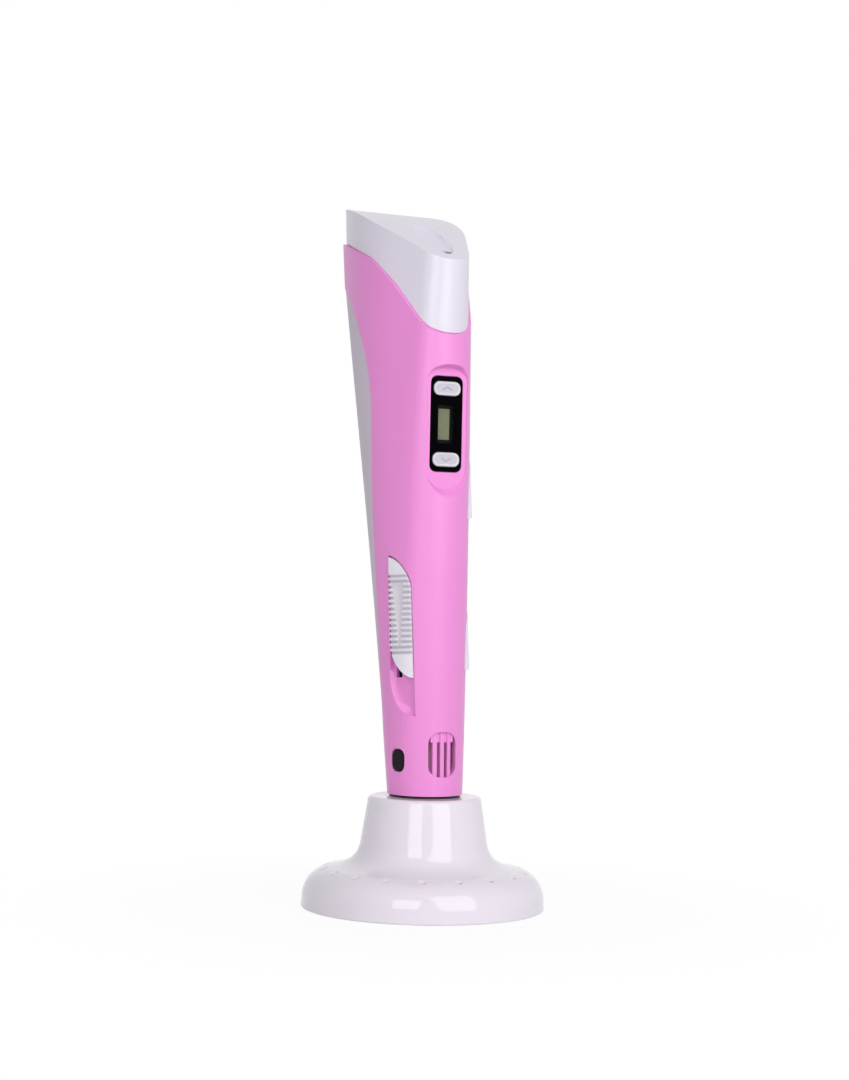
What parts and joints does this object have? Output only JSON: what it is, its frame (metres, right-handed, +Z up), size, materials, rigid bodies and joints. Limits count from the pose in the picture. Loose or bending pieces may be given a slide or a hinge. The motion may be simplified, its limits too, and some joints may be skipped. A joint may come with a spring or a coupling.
{
  "type": "three d pen",
  "caption": "Hand-held drawing pen that melts and feeds plastic filament, with a display, speed slider and feed buttons, standing nose down in a round desk stand.",
  "frame": {"origin": "on the table under the middle of the stand", "axes": "+Z up along the pen's nose axis, -Y towards the side with the display, -X towards the side with the speed slider"},
  "size_m": [0.0708, 0.0708, 0.2064],
  "materials": {
    "stand_white": "polished",
    "pink": "satin",
    "white": "satin",
    "nose_black": "fine grain",
    "gloss_black": "polished",
    "clear": "clear",
    "lcd": "grey-green, switched off",
    "switch_black": "moulded",
    "board_green": "solder mask",
    "steel": "plated",
    "smoked": "polished",
    "led": "cast resin",
    "ceramic": "fired, unglazed",
    "brass": "turned",
    "heater_wrap": "fired, unglazed",
    "bead": "glass bead",
    "chassis": "moulded",
    "tube_white": "drawn",
    "fan_black": "moulded",
    "jack_black": "moulded"
  },
  "bodies": {
    "stand": {"stand_base": "stand_white"},
    "pen": {"front_shell": "pink", "spine_cover": "white", "top_cap": "white", "nose_cone": "nose_black", "display_bezel": "gloss_black", "display_window": "clear", "lcd_panel": "lcd", "temp_up_switch": "switch_black", "temp_down_switch": "switch_black", "load_switch": "switch_black", "unload_switch": "switch_black", "speed_pot": "switch_black", "main_board": "board_green", "board_screw_lower": "steel", "board_screw_upper": "steel", "spine_screw_lower": "steel", "spine_screw_upper": "steel", "status_lens": "smoked", "status_led": "led", "nozzle_tip": "ceramic", "heater_tube": "brass", "heater_sleeve": "heater_wrap", "thermistor": "bead", "hot_end_mount": "chassis", "inlet_tube": "tube_white", "feed_block": "chassis", "idler_pin": "steel", "gearbox": "steel", "feed_motor": "steel", "feed_tube": "tube_white", "inner_frame": "chassis", "fan_frame": "fan_black", "dc_jack": "jack_black"},
    "speed_slider": {"speed_slider": "white"},
    "temp_up_button": {"temp_up_button": "white"},
    "temp_down_button": {"temp_down_button": "white"},
    "load_button": {"load_button": "white"},
    "unload_button": {"unload_button": "white"},
    "feed_gear": {"feed_gear": "brass"},
    "idler": {"idler_bearing": "steel"},
    "fan": {"fan_rotor": "fan_black"}
  },
  "joints": [
    {"name": "pen_lift", "type": "slide", "parent": "stand", "child": "pen", "axis": [0, 0, 1], "range_m": [0, 0.03]},
    {"name": "speed_slide", "type": "slide", "parent": "pen", "child": "speed_slider", "axis": [0.0215, -0.0458, -0.9987], "range_m": [0, 0.006]},
    {"name": "temp_up_press", "type": "slide", "parent": "pen", "child": "temp_up_button", "axis": [0, 1, 0], "range_m": [0, 0.0005], "stiffness_N_per_m": 2000},
    {"name": "temp_down_press", "type": "slide", "parent": "pen", "child": "temp_down_button", "axis": [0, 1, 0], "range_m": [0, 0.0005], "stiffness_N_per_m": 2000},
    {"name": "load_press", "type": "slide", "parent": "pen", "child": "load_button", "axis": [-0.9063, 0.4226, 0.0016], "range_m": [0, 0.0007], "stiffness_N_per_m": 2000},
    {"name": "unload_press", "type": "slide", "parent": "pen", "child": "unload_button", "axis": [-0.9063, 0.4226, -0.008], "range_m": [0, 0.0007], "stiffness_N_per_m": 2000},
    {"name": "feed_gear_spin", "type": "hinge", "parent": "pen", "child": "feed_gear", "pos_m": [0.00378, 0, 0.1676], "axis": [0, 1, 0], "continuous": true},
    {"name": "idler_spin", "type": "hinge", "parent": "pen", "child": "idler", "pos_m": [-0.00378, 0, 0.1676], "axis": [0, 1, 0], "continuous": true},
    {"name": "fan_spin", "type": "hinge", "parent": "pen", "child": "fan", "pos_m": [0, 0.00625, 0.1131], "axis": [0, 1, 0], "continuous": true}
  ],
  "couplings": [
    {"joint": "idler_spin", "follows": "feed_gear_spin", "ratio": -1}
  ]
}
